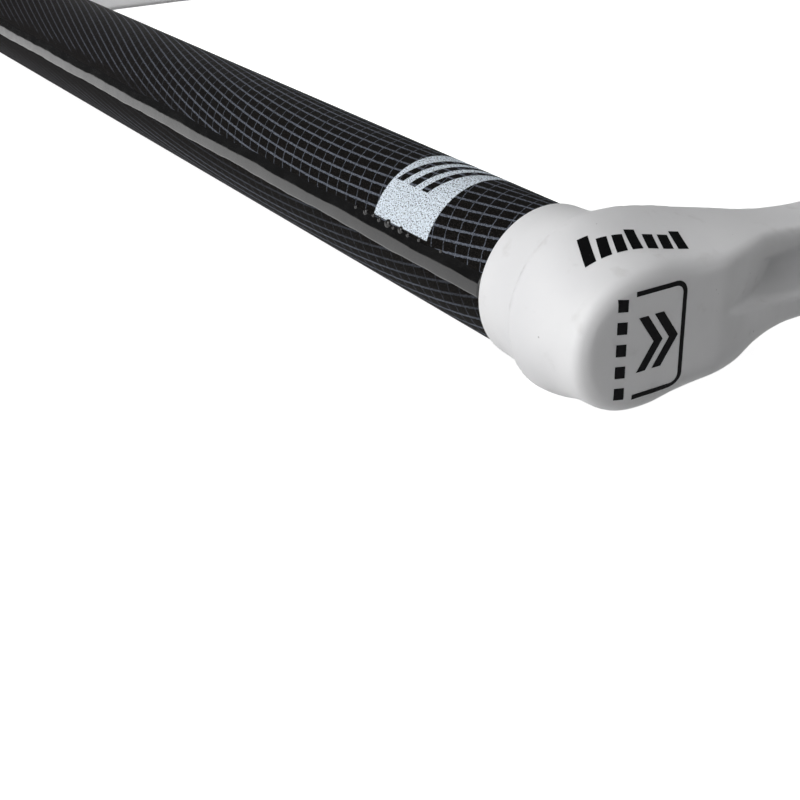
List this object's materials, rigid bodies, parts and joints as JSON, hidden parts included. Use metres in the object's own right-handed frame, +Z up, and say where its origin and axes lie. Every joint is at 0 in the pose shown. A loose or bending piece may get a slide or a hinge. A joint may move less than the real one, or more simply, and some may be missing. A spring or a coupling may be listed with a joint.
{
  "type": "water sports tow handle",
  "caption": "Tow handle for wakeboarding and water skiing: padded round grip locked in moulded end caps, with bridle arms that meet at a lined tow eye.",
  "frame": {"origin": "middle of the handle's bounding box in X and Y, on the surface that the end caps lie on", "axes": "+X along the bar to the right-hand end cap, +Y from the bar towards the tow eye, +Z up, square to the plane of the bridle"},
  "size_m": [0.381, 0.366, 0.035],
  "materials": {
    "tube_aluminium": "satin, anodised",
    "flotation_foam": "closed-cell foam",
    "soft_rubber": "matte",
    "grip_fabric": "sueded microfibre with a grid of raised threads",
    "seam_cement": "glossy, hand-laid bead",
    "black_nylon": "moulded",
    "stainless_steel": "satin",
    "bridle_rope": "braided",
    "white_elastomer": "satin moulded, cool white"
  },
  "bodies": {
    "bar": {"bar_tube": "tube_aluminium", "foam_core": "flotation_foam", "grip_underlay": "soft_rubber", "grip_cover": "grip_fabric", "seam_bead": "seam_cement", "left_tube_plug": "black_nylon", "right_tube_plug": "black_nylon", "left_plug_seal": "soft_rubber", "right_plug_seal": "soft_rubber", "left_lock_pin": "stainless_steel", "right_lock_pin": "stainless_steel", "left_lock_spool": "black_nylon", "right_lock_spool": "black_nylon", "left_spool_screw": "stainless_steel", "right_spool_screw": "stainless_steel", "left_rope_bight": "bridle_rope", "right_rope_bight": "bridle_rope", "left_collar": "white_elastomer", "right_collar": "white_elastomer", "left_end_cap": "white_elastomer", "right_end_cap": "white_elastomer"},
    "bridle": {"left_arm": "white_elastomer", "right_arm": "white_elastomer", "bridle_rope_upper": "bridle_rope", "bridle_rope_lower": "bridle_rope", "yoke": "white_elastomer", "tow_thimble": "stainless_steel"}
  },
  "joints": [
    {"name": "bridle_flex", "type": "hinge", "parent": "bar", "child": "bridle", "pos_m": [0, -0.11151, 0.0175], "axis": [1, 0, 0], "range_deg": [-25, 25], "stiffness_Nm_per_rad": 6}
  ]
}
